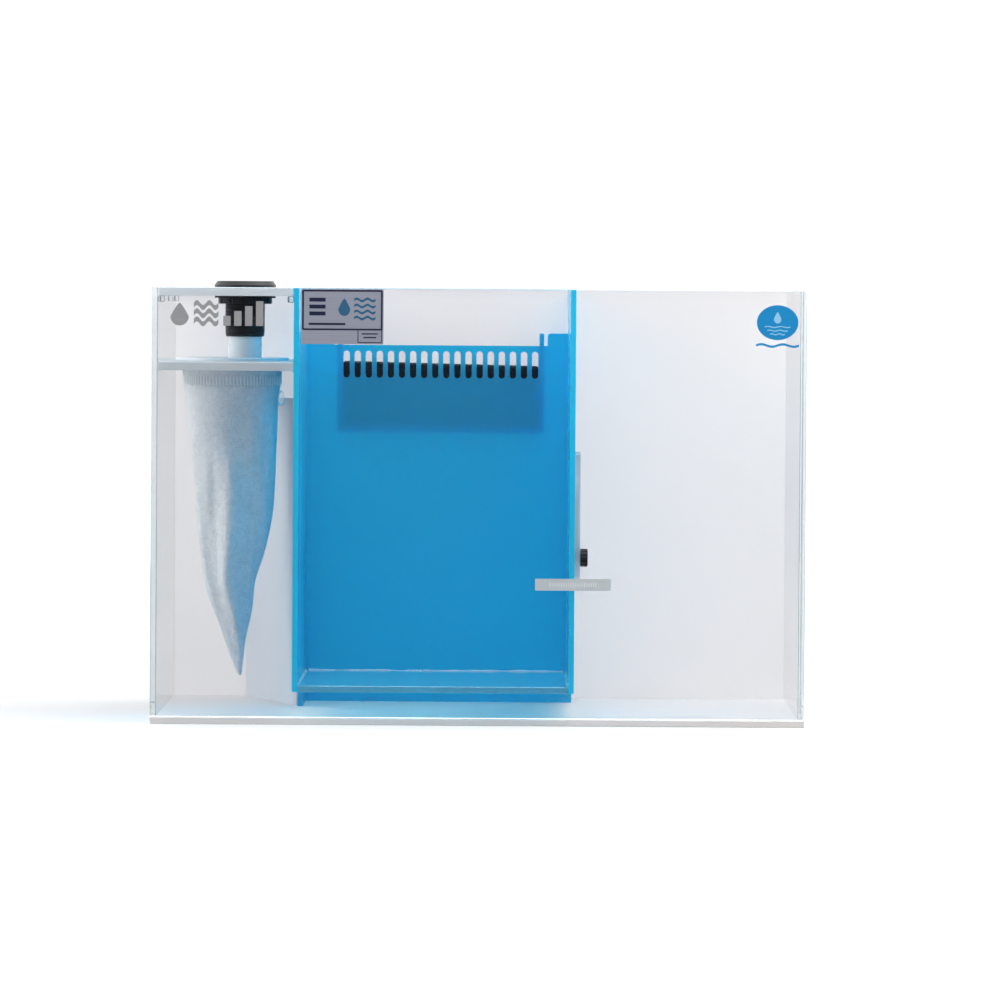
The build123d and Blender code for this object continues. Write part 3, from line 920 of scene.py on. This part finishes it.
    def gather(self, bag: Piece) -> None:
        """Presses the pleats under the ring into the felt.

        Args:
            bag: The settled bag.
        """
        band_high, band_low = (self.shelf_z - drop for drop in self.pleats_under_shelf)
        middle, half = (band_low + band_high) / 2, (band_high - band_low) / 2
        for vertex in bag.data.vertices:
            share = abs(vertex.co.z - middle) / half
            if share < 1.0:
                offset = vertex.co - self.axis
                turn = math.atan2(offset.y, offset.x)
                press = (0.5 + 0.5 * math.cos(self.pleats * turn)) * (1.0 - share ** 4)
                radial = Vector((offset.x, offset.y, 0.0)).normalized()
                vertex.co -= radial * self.pleat_depth * press
            elif vertex.co.z > band_high:
                offset = vertex.co - self.axis
                vertex.co += Vector((offset.x, offset.y, 0.0)).normalized() * self.cuff_stand

    def bag(self, material: bpy.types.Material) -> Piece:
        """Makes the bag.

        Args:
            material: The felt.

        Returns:
            The finished piece.
        """
        bag = self.start_mesh()
        self.sag(bag)
        apply_modifier(bag, "SUBSURF", levels=1, render_levels=1)
        self.gather(bag)
        turn_outwards(bag)
        apply_modifier(bag, "SOLIDIFY", thickness=self.felt, offset=-1.0)
        settle(bag, "sock_felt_bag", 80.0)
        finish_piece(bag, Body.SOCK, material)
        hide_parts("sock_bag")
        return bag

    def twin(self, pattern: Piece) -> Piece:
        """Copies a piece together with its mesh.

        Args:
            pattern: The piece.

        Returns:
            The copy.
        """
        copy = pattern.copy()
        copy.data = pattern.data.copy()
        bpy.context.scene.collection.objects.link(copy)
        return copy

    def stitches(self, material: bpy.types.Material) -> Piece:
        """Sews the upright white stitches that hold the cuff's gathers; their white also stands in, as
        painted highlight, for the lit ridges of the gathers.

        Args:
            material: The thread, whose white on these stitches is partly painted ridge highlight.

        Returns:
            The finished piece.
        """
        height = self.shelf_z - self.stitch_under_shelf
        left, right = smooth_between(self.outline, height - self.tip_z)
        radius = (right - left) / 2 + 0.0002
        middle = self.axis.x + (left + right) / 2
        lean = math.radians(3.0)
        deselect_all()
        bpy.ops.mesh.primitive_cylinder_add(vertices=8, radius=self.stitch_radius, depth=self.stitch_length)
        pattern = bpy.context.object
        with edit_mode(pattern) as mesh:
            select_faces(pattern, mesh, lambda face: len(face.verts) == 8)
            bpy.ops.mesh.bevel(offset=0.0002, segments=2)
        copies = [pattern] + [self.twin(pattern) for _ in range(self.pleats - 1)]
        for index, stitch in enumerate(copies):
            turn = 2.0 * math.pi * index / self.pleats
            around = Vector((math.cos(turn), math.sin(turn), 0.0)) * radius
            stitch.location = Vector((middle, self.axis.y, height)) + around
            stitch.rotation_euler = (lean, 0.0, turn)
        bpy.context.view_layer.update()
        row = settle(join(copies), "sock_cuff_stitches_painted_ridge_highlights", 60.0)
        finish_piece(row, Body.SOCK, material)
        return row

    def loop(self, material: bpy.types.Material) -> Piece:
        """Makes the small thread loop that hangs at the cuff's right side.

        Args:
            material: The thread.

        Returns:
            The finished piece.
        """
        centre = Vector((self.axis.x + 0.0474, self.axis.y - 0.0110, self.shelf_z - self.loop_under_shelf))
        deselect_all()
        bpy.ops.mesh.primitive_torus_add(location=centre, major_radius=self.loop_radius,
                                         minor_radius=self.thread_radius, major_segments=40, minor_segments=8,
                                         rotation=(math.radians(90.0), 0.0, 0.0))
        loop = place_in_mesh()
        for vertex in loop.data.vertices:
            offset = vertex.co - centre
            pinch = 0.42 - self.loop_narrowing * offset.z
            vertex.co.x = centre.x + offset.x * pinch
            vertex.co.y = centre.y + offset.y + offset.x * 0.5
        settle(loop, "sock_thread_loop", 60.0)
        finish_piece(loop, Body.SOCK, material)
        return loop

    def build(self) -> None:
        """Makes the bag, its stitches and its loop."""
        felt = FELT.build()
        # The white thread material also carries the painted ridge highlight of the cuff stitches.
        thread = THREAD_AND_RIDGE_HIGHLIGHT.build()
        bag = self.bag(felt)
        trims = [self.stitches(thread), self.loop(thread)]


# ---------------------------------------------------------------- foam block
@dataclass
class FoamBlock:
    """The loose open-cell block in the tray behind the comb panel."""

    cell: float = 0.0024
    pore: float = 0.0042
    rough: float = 0.0010
    rounding: float = 0.0012
    skin: float = 0.0008

    def build(self) -> None:
        """Makes the block from a cube cut to the frame's slanted top."""
        low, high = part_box("foam_block")
        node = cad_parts["foam_block"]
        right_top = max(v.co.z for v in node.data.vertices if v.co.x > high.x - 0.001)
        low, high = low + Vector((self.skin,) * 3), high - Vector((self.skin,) * 3)
        low.z -= self.skin * 0.5
        centre, size = (low + high) / 2, high - low
        block = box_between(low, high)
        drop = high.z - (right_top - self.skin)
        for vertex in block.data.vertices:
            if vertex.co.z > centre.z and vertex.co.x > centre.x:
                vertex.co.z -= drop
        with edit_mode(block):
            bpy.ops.mesh.select_all(action="SELECT")
            bpy.ops.mesh.bevel(offset=self.rounding, segments=1)
        for axis in range(3):
            cut_along(block, axis, size[axis] * 0.6, int(size[axis] / self.cell))
        pores = bpy.data.textures.new("foam_pores", "VORONOI")
        pores.noise_scale = self.pore
        pores.intensity = 1.1
        apply_modifier(block, "DISPLACE", texture=pores, strength=self.rough, mid_level=0.35)
        settle(block, "foam_filter_block", 30.0)
        finish_piece(block, Body.FOAM, FOAM.build())
        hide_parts("foam_block")


# ---------------------------------------------------------------- bulkhead thread
@dataclass
class BulkheadThread:
    """The fine outside thread of the drain fitting, below its nut. Sizes are in metres."""

    facets: int = 96
    pitch: float = 0.0015
    crest: float = 0.00055
    steps: int = 4
    foot: float = 0.0020
    wall: float = 0.0006
    stand: float = 0.00003

    def build(self) -> None:
        """Winds the thread round the barrel of the fitting."""
        low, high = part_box("bulkhead_body")
        axis = Vector(((low.x + high.x) / 2, (low.y + high.y) / 2, 0.0))
        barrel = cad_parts["bulkhead_body"].data.vertices
        root = max((v.co - axis).xy.length for v in barrel if v.co.z < low.z + self.foot * 1.5)
        start, end = low.z + self.foot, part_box("bulkhead_nut")[0].z - self.foot / 4
        loops = int((end - start) / self.pitch * self.steps)
        deselect_all()
        bpy.ops.mesh.primitive_cylinder_add(vertices=self.facets, radius=root, depth=end - start,
                                            end_fill_type="NOTHING",
                                            location=(axis.x, axis.y, (start + end) / 2))
        thread = place_in_mesh()
        cut_along(thread, 2, (end - start) / 2, loops)
        for vertex in thread.data.vertices:
            offset = vertex.co - axis
            turn = math.atan2(offset.y, offset.x)
            wave = 0.5 + 0.5 * math.cos(2.0 * math.pi * (vertex.co.z - start) / self.pitch - turn)
            ends = min(1.0, (vertex.co.z - start) / self.pitch, (end - vertex.co.z) / self.pitch)
            radius = root + self.stand + self.crest * wave * max(0.0, ends)
            vertex.co.xy = axis.xy + offset.xy.normalized() * radius
        apply_modifier(thread, "SOLIDIFY", thickness=self.wall, offset=-1.0)
        settle(thread, "bulkhead_thread", 25.0)
        finish_piece(thread, Body.LID, BLACK.build())


# ---------------------------------------------------------------- cement
@dataclass
class CementBeads:
    """The uneven beads of solvent cement in the refugium's and shelf's corners."""

    radius: float = 0.0016
    step: float = 0.0022
    gap: float = 0.00006

    def bead(self, start: Vector, end: Vector, out: Vector, wide: float) -> Piece:
        """Makes one bead along an inside corner.

        Args:
            start: One end of the corner line.
            end: The other end.
            out: The direction, of ones and zeros, in which the bead's two legs lie.
            wide: The bead's mean leg.

        Returns:
            The bead.
        """
        run = end - start
        axis = max(range(3), key=lambda index: abs(run[index]))
        legs = [index for index in range(3) if index != axis]
        deselect_all()
        bpy.ops.mesh.primitive_cube_add(size=1.0)
        bead = bpy.context.object
        cut_along(bead, axis, 0.5, int(run.length / self.step))
        for vertex in bead.data.vertices:
            share = vertex.co[axis] + 0.5
            away = [vertex.co[leg] > 0 for leg in legs]
            spot = start + run * share
            flow = 1.0 + 0.75 * noise.noise(spot * 60.0) + 0.35 * noise.noise(spot * 260.0)
            place = spot.copy()
            for leg, far in zip(legs, away):
                reach = wide * flow * (0.42 if all(away) else 1.0) if far else self.gap
                place[leg] = spot[leg] + out[leg] * reach
            vertex.co = place
        turn_outwards(bead)
        return bead

    def build(self) -> None:
        """Makes every bead and joins them."""
        floor_low, floor_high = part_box("refugium_floor")
        shelf_low, shelf_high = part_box("sock_shelf")
        inset = 0.003
        front, back = floor_low.y + inset, floor_high.y - inset
        low_x, high_x = floor_low.x - self.gap, floor_high.x + self.gap
        top, rear = floor_high.z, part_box("comb_panel")[0].y
        shelf_front, shelf_back = shelf_low.y + inset, shelf_high.y - inset
        plan = (
            (Vector((low_x, front, top)), Vector((low_x, back, top)), Vector((1, 0, 1)), self.radius),
            (Vector((high_x, front, top)), Vector((high_x, back, top)), Vector((-1, 0, 1)), self.radius),
            (Vector((low_x + inset, rear, top)), Vector((high_x - inset, rear, top)), Vector((0, -1, 1)),
             self.radius * 0.6),
            *((Vector((x, shelf_front, shelf_low.z)), Vector((x, shelf_back, shelf_low.z)),
               Vector((side, 0, -1)), self.radius * 0.7)
              for x, side in ((shelf_low.x, 1), (shelf_high.x, -1))),
        )
        beads = settle(join([self.bead(*row) for row in plan]), "cement_beads", 50.0)
        finish_piece(beads, Body.TANK, CEMENT.build())


# ---------------------------------------------------------------- front labels
class Mark(Enum):
    """Plain graphics that the labels carry."""

    DROP = "drop"
    WAVE = "wave"
    BAR = "bar"


@dataclass
class FrontLabels:
    """Foil and vinyl labels on the front panel, with plain graphics and no lettering."""

    film: float = 0.00020
    print_step: float = 0.00004
    wave_cuts: int = 39
    rule: float = 0.0016
    box_drop: float = 0.0375
    small_box: float = 0.022
    ticks: int = 21
    tick_margin: float = 0.014

    def plate(self, name: str, node: str, segments: int = 4, corner: float = 0.0008) -> Piece:
        """Makes a thin label with rounded corners in the place of a node.

        Args:
            name: The piece's name.
            node: The frame's node that it stands for.
            segments: Steps of each rounded corner.
            corner: Radius of the corners.

        Returns:
            The plate.
        """
        low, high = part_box(node)
        plate = box_between(low, high)
        with edit_mode(plate) as mesh:
            for edge in mesh.edges:
                along = abs(edge.verts[0].co.y - edge.verts[1].co.y)
                edge.select_set(along > (high.y - low.y) * 0.5)
            bmesh.update_edit_mesh(plate.data)
            bpy.ops.mesh.bevel(offset=corner, segments=segments)
        return settle(plate, name, 20.0)

    def mark(self, kind: Mark, x: float, z: float, wide: float, tall: float, front: float) -> Piece:
        """Makes one printed shape that stands a hair proud of its label.

        Args:
            kind: Which shape.
            x: Its centre.
            z: Its centre.
            wide: Its width.
            tall: Its height, or a wave's stroke.
            front: The Y of its outer face.

        Returns:
            The shape.
        """
        deselect_all()
        if kind is Mark.DROP:
            bpy.ops.mesh.primitive_circle_add(vertices=40, radius=0.5, fill_type="NGON",
                                              rotation=(math.radians(90.0), 0.0, 0.0))
        else:
            bpy.ops.mesh.primitive_plane_add(size=1.0, rotation=(math.radians(90.0), 0.0, 0.0))
        shape = place_in_mesh()
        if kind is Mark.WAVE:
            cut_along(shape, 0, 0.5, self.wave_cuts)
        if kind is Mark.BAR:
            with edit_mode(shape):
                bpy.ops.mesh.select_all(action="SELECT")
                bpy.ops.mesh.subdivide(number_cuts=1)
        for vertex in shape.data.vertices:
            if kind is Mark.DROP and vertex.co.z > 0:
                squeeze = (1.0 - 2.0 * vertex.co.z) ** 0.75
                vertex.co.x = math.copysign(0.5 * squeeze, vertex.co.x) if abs(vertex.co.x) > 1e-4 else 0.0
                vertex.co.z *= 1.5
            across = vertex.co.x
            vertex.co.x = x + across * wide
            swing = 0.5 * tall * math.sin(across * 4.0 * math.pi) if kind is Mark.WAVE else 0.0
            vertex.co.z = z + vertex.co.z * tall + swing
            vertex.co.y = front
        with edit_mode(shape):
            bpy.ops.mesh.select_all(action="SELECT")
            bpy.ops.mesh.extrude_region_move(TRANSFORM_OT_translate={"value": (0.0, self.film * 0.5, 0.0)})
        turn_outwards(shape)
        return shape

    def finish_marks(self, marks: Sequence[Piece], name: str, finish: PrintFinish) -> None:
        """Joins, names and dresses a group of marks.

        Args:
            marks: The shapes.
            name: The piece's name.
            finish: Their ink.
        """
        group = settle(join(list(marks)), name, 20.0)
        finish_piece(group, Body.TANK, finish.build())

    def info_label(self) -> None:
        """The silver label: a dark frame line, a drop over waves, plain bars and a small box."""
        low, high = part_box("info_label")
        plate = self.plate("info_label_plate", "info_label")
        finish_piece(plate, Body.TANK, FOIL.build())
        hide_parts("info_label")
        front = low.y - self.print_step
        left, right, top = low.x + self.rule, high.x - self.rule, high.z - self.rule
        box_z, foot = high.z - self.box_drop, low.z + self.rule
        small_left = right - self.small_box
        small_middle = (small_left + right) / 2
        # Each bar's centre, then its width and height.
        bars = [((low.x + high.x) / 2, z, right - left, self.rule) for z in (top, box_z)]
        bars += [(x, (top + box_z) / 2, self.rule, top - box_z) for x in (left, right)]
        bars += [(x, (box_z + foot) / 2, self.rule / 2, box_z - foot) for x in (small_left, right)]
        bars.append((small_middle, foot, self.small_box, self.rule / 2))
        bars += [(small_middle, box_z - 0.0040 - 0.0034 * row, 0.0150 - 0.003 * row, 0.0012)
                 for row in range(2)]
        bars += [(low.x + 0.0150, high.z - 0.0100 - 0.0064 * row, 0.0150, 0.0036) for row in range(3)]
        bars.append((low.x + 0.024, box_z + 0.0050, 0.034, 0.0020))
        ink = [self.mark(Mark.BAR, *bar, front) for bar in bars]
        self.finish_marks(ink, "info_label_print", NAVY_INK)
        drops = [self.mark(Mark.DROP, low.x + 0.0400, high.z - 0.0185, 0.0110, 0.0130, front)]
        drops += [self.mark(Mark.WAVE, low.x + 0.0590, high.z - 0.0100 - 0.0056 * row, 0.0200, 0.0022, front)
                  for row in range(4)]
        self.finish_marks(drops, "info_label_drop_and_waves", TEAL_INK)

    def level_strip(self) -> None:
        """The silver strip with a row of level ticks."""
        low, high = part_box("level_strip")
        plate = self.plate("level_strip_plate", "level_strip", corner=0.0005)
        finish_piece(plate, Body.TANK, STRIP.build())
        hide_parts("level_strip")
        front, middle = low.y - self.print_step, (low.z + high.z) / 2
        pitch = (high.x - low.x - 2 * self.tick_margin) / (self.ticks - 1)
        marks = [self.mark(Mark.BAR, low.x + self.tick_margin + pitch * step, middle, 0.0006,
                           0.0050 if step % 5 == 0 else 0.0030, front) for step in range(self.ticks)]
        self.finish_marks(marks, "level_strip_ticks", PALE_INK)

    def chamber_decal(self) -> None:
        """Grey cut vinyl in the sock chamber's window: a drop, plain waves and rising bars."""
        low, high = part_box("chamber_decal")
        back = high.y - self.film
        width, height = high.x - low.x, high.z - low.z
        middle = (low.z + high.z) / 2
        marks = [self.mark(Mark.DROP, low.x + width * 0.12, middle - height * 0.13, height * 0.74,
                           height * 0.74, back)]
        marks += [self.mark(Mark.WAVE, low.x + width * 0.40, middle + row * height * 0.33,
                            width * 0.26, height * 0.20, back) for row in (-1, 0, 1)]
        for step in range(4):
            tall = height * (0.40 + 0.20 * step)
            marks.append(self.mark(Mark.BAR, low.x + width * (0.62 + 0.115 * step), low.z + tall / 2,
                                   width * 0.078, tall, back))
        group = settle(join(marks), "chamber_decal_vinyl", 20.0)
        finish_piece(group, Body.TANK, GREY_VINYL.build())
        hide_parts("chamber_decal")

    def badge(self) -> None:
        """The blue oval: three pale waves under a drop, and a plain wave below it."""
        low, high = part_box("maker_disc")
        centre = (low + high) / 2
        wide, tall = high.x - low.x, high.z - low.z
        deselect_all()
        bpy.ops.mesh.primitive_cylinder_add(vertices=96, radius=0.5, depth=high.y - low.y, location=centre,
                                            rotation=(math.radians(90.0), 0.0, 0.0))
        disc = bpy.context.object
        disc.scale = (wide, tall, 1.0)
        place_in_mesh()
        with edit_mode(disc) as mesh:
            select_faces(disc, mesh, lambda face: face.normal.y < -0.9)
            bpy.ops.mesh.inset(thickness=0.0005)
            bpy.ops.transform.translate(value=(0.0, -self.print_step / 2, 0.0))
        settle(disc, "maker_disc_oval", 20.0)
        finish_piece(disc, Body.TANK, BLUE_VINYL.build())
        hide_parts("maker_disc")
        front = low.y - self.print_step
        marks = [self.mark(Mark.DROP, centre.x, centre.z + 0.0035, 0.0070, 0.0085, front)]
        for step in range(3):
            marks.append(self.mark(Mark.WAVE, centre.x, centre.z - 0.0040 - 0.0034 * step,
                                   wide * (0.62 - 0.13 * step), 0.0010, front))
        self.finish_marks(marks, "maker_disc_waves", PALE_BLUE_INK)
        under = [self.mark(Mark.WAVE, centre.x, low.z - 0.0050, wide * 1.04, 0.0022, high.y - self.film)]
        self.finish_marks(under, "maker_disc_under_wave", BLUE_VINYL)

    def build(self) -> None:
        """Makes the four labels."""
        self.info_label()
        self.level_strip()
        self.chamber_decal()
        self.badge()


# ---------------------------------------------------------------- frame nodes and studio
class CadDressing:
    """Gives the frame's own nodes their finishes."""

    PALE_NODES = ("left_end_panel", "right_end_panel", "lid_ledge_left", "lid_ledge_right",
                  "gate_rail_front", "gate_rail_back")
    BLUE_NODES = ("left_partition", "right_partition", "comb_panel", "foam_tray_left", "foam_tray_right",
                  "foam_tray_floor", "gate_insert")
    BLACK_NODES = ("bulkhead_body", "bulkhead_nut", "gate_washer", "gate_knob", "gate_screw")

    def dress(self) -> None:
        """Assigns one finish to each node that stays visible."""
        plan = (
            (CLEAR, ("front_panel",)), (SAWN, ("lid_plate", "sock_shelf")), (MATT_WHITE, ("bottom_panel",)),
            (PALE, self.PALE_NODES), (EDGE_LIT, ("refugium_floor",)),
            (MILKY, ("back_panel",)), (SMOKY, ("diagonal_baffle",)), (BLUE, self.BLUE_NODES),
            (BLACK, self.BLACK_NODES),
            (FROSTED, ("gate_plate",)), (RUBBER, ("bulkhead_gasket",)), (PIPE, ("drain_pipe",)),
            (RING, ("sock_ring",)),
        )
        for finish, names in plan:
            material = finish.build()
            for name in names:
                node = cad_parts[name]
                node.data.materials.clear()
                node.data.materials.append(material)
                log.info("dressed %s in %s", name, finish.name)


@dataclass(frozen=True)
class SoftBox:
    """One square lamp: where it stands, what it faces, its power in watts and its side."""

    name: str
    place: Place
    aim: Place
    power: float
    side: float

    def build(self) -> None:
        """Adds the lamp."""
        data = bpy.data.lights.new(self.name, "AREA")
        data.energy = self.power
        data.size = self.side
        data.specular_factor = 0.0
        lamp = bpy.data.objects.new(self.name, data)
        turn = (Vector(self.aim) - Vector(self.place)).to_track_quat("-Z", "Y").to_matrix().to_4x4()
        lamp.matrix_world = Matrix.Translation(self.place) @ turn
        bpy.context.scene.collection.objects.link(lamp)


@dataclass
class Studio:
    """Pale floor, soft light and the camera.

    The surround's levels differ for what the camera sees, what passes through a sheet, what scatters and what
    mirrors.
    """

    eye: Place = (0.0331, -6.6348, 0.4057)
    pitch: float = 1.7332
    yaw: float = 0.1130
    roll: float = 0.3764
    lens: float = 250.12
    floor_side: float = 400.0
    seen: float = 1.04
    through: float = 1.92
    diffuse_low: float = 0.04
    diffuse_high: float = 1.25
    glossy: float = 0.02
    floor_span: Tuple[float, float] = (0.45, 1.6)
    floor_lift: Tuple[float, float] = (0.05, 0.55)
    light_from: Place = (-0.1, 0.8, 0.6)
    light_span: Tuple[float, float] = (-0.5, 0.4)
    mirror_from: Place = (0.0, 1.0, 0.3)
    mirror_span: Tuple[float, float] = (-0.8, -0.25)
    lamps: Tuple[SoftBox, ...] = (
        SoftBox("left_softbox", (-1.8, -0.3, 1.1), (-0.15, 0.0, 0.2), 13.0, 1.0),
        SoftBox("right_softbox", (1.0, -0.2, 1.5), (0.1, 0.0, 0.2), 18.0, 1.2),
        SoftBox("top_softbox", (-0.1, -0.4, 2.1), (0.0, 0.1, 0.3), 17.0, 1.4),
    )

    def camera(self) -> None:
        """Sets the camera in front of the tank, level with its top edge."""
        data = bpy.data.cameras.new("camera")
        data.lens = self.lens
        data.sensor_width = 36.0
        data.clip_end = 2000.0
        camera = bpy.data.objects.new("camera", data)
        turn = (Matrix.Rotation(math.radians(self.yaw), 4, "Z")
                @ Matrix.Rotation(math.radians(90.0 - self.pitch), 4, "X")
                @ Matrix.Rotation(math.radians(self.roll), 4, "Z"))
        camera.matrix_world = Matrix.Translation(self.eye) @ turn
        bpy.context.scene.collection.objects.link(camera)
        bpy.context.scene.camera = camera

    def floor(self) -> None:
        """Lays a large pale floor that glows more with distance and looks dark in the front's reflections."""
        bpy.ops.mesh.primitive_plane_add(size=self.floor_side, location=(0.0, 0.0, -0.0002))
        floor = bpy.context.object
        floor.name = "studio_floor"
        material, nodes, output = new_material("pale_floor")
        where = nodes.add("TexCoord").outputs["Object"]
        speckle = nodes.add("TexNoise", {"Vector": where, "Scale": 60.0, "Detail": 4.0})
        colour = nodes.blend(speckle.outputs["Fac"], (0.60, 0.60, 0.60), (0.62, 0.62, 0.62))
        path = nodes.add("LightPath")
        bounced = nodes.maths("GREATER_THAN", path.outputs["Glossy Depth"], 0.5)
        across = nodes.add("SeparateXYZ", {"Vector": where})
        mirrored = nodes.maths("MULTIPLY", bounced, nodes.maths("LESS_THAN", across.outputs["Y"], 0.0))
        away = nodes.add("VectorMath", {0: where}, operation="LENGTH")
        far = nodes.eased(away.outputs["Value"], self.floor_span, self.floor_lift)
        lift = nodes.maths("MULTIPLY", far, nodes.maths("SUBTRACT", 1.0, mirrored))
        colour = nodes.blend(mirrored, colour, (0.03, 0.03, 0.03))
        matte = nodes.add("BsdfPrincipled", {
            "Base Color": colour, "Roughness": 0.9, "Specular IOR Level": 0.1,
            "Emission Color": (1.0, 1.0, 1.0, 1.0), "Emission Strength": lift,
        })
        nodes.tree.links.new(matte.outputs[0], output.inputs["Surface"])
        floor.data.materials.append(material)

    def surround(self) -> None:
        """Sets a white surround whose light comes from the left, above and behind."""
        world = bpy.data.worlds.new("studio_surround")
        bpy.context.scene.world = world
        world.use_nodes = True
        world.cycles.sampling_method = "NONE"
        world.node_tree.nodes.clear()
        nodes = Nodes(world.node_tree)
        path = nodes.add("LightPath")
        scattered = nodes.maths("GREATER_THAN", path.outputs["Diffuse Depth"], 0.5)
        bounced = nodes.maths("GREATER_THAN", path.outputs["Glossy Depth"], 0.5)
        direction = nodes.add("TexCoord").outputs["Generated"]
        ahead = nodes.add("VectorMath", {0: direction, 1: self.mirror_from}, operation="DOT_PRODUCT")
        mirror = nodes.eased(ahead.outputs["Value"], self.mirror_span, (self.glossy, self.through))
        side = nodes.add("VectorMath", {0: direction, 1: self.light_from}, operation="DOT_PRODUCT")
        facing = nodes.eased(side.outputs["Value"], self.light_span, (self.diffuse_low, self.diffuse_high))
        passed = nodes.maths("GREATER_THAN", path.outputs["Transmission Depth"], 0.5)
        plain = nodes.add("Mix", {0: passed, 2: self.seen, 3: self.through})
        seen = nodes.add("Mix", {0: bounced, 2: plain.outputs[0], 3: mirror})
        level = nodes.add("Mix", {0: scattered, 2: seen.outputs[0], 3: facing}).outputs[0]
        back = nodes.add("Background", {"Color": (1.0, 1.0, 1.0, 1.0), "Strength": level})
        out = nodes.add("OutputWorld")
        nodes.tree.links.new(back.outputs[0], out.inputs["Surface"])

    def build(self) -> None:
        """Sets up camera, floor and light."""
        self.camera()
        self.floor()
        self.surround()
        for lamp in self.lamps:
            lamp.build()
        view = bpy.context.scene.view_settings
        view.view_transform = "Standard"
        view.look = "None"


def main() -> None:
    """Builds the scene in order."""
    logging.basicConfig(level=logging.INFO)
    Studio().build()
    CadDressing().dress()
    FilterSock().build()
    FoamBlock().build()
    BulkheadThread().build()
    CementBeads().build()
    FrontLabels().build()


if __name__ == "__main__":
    main()
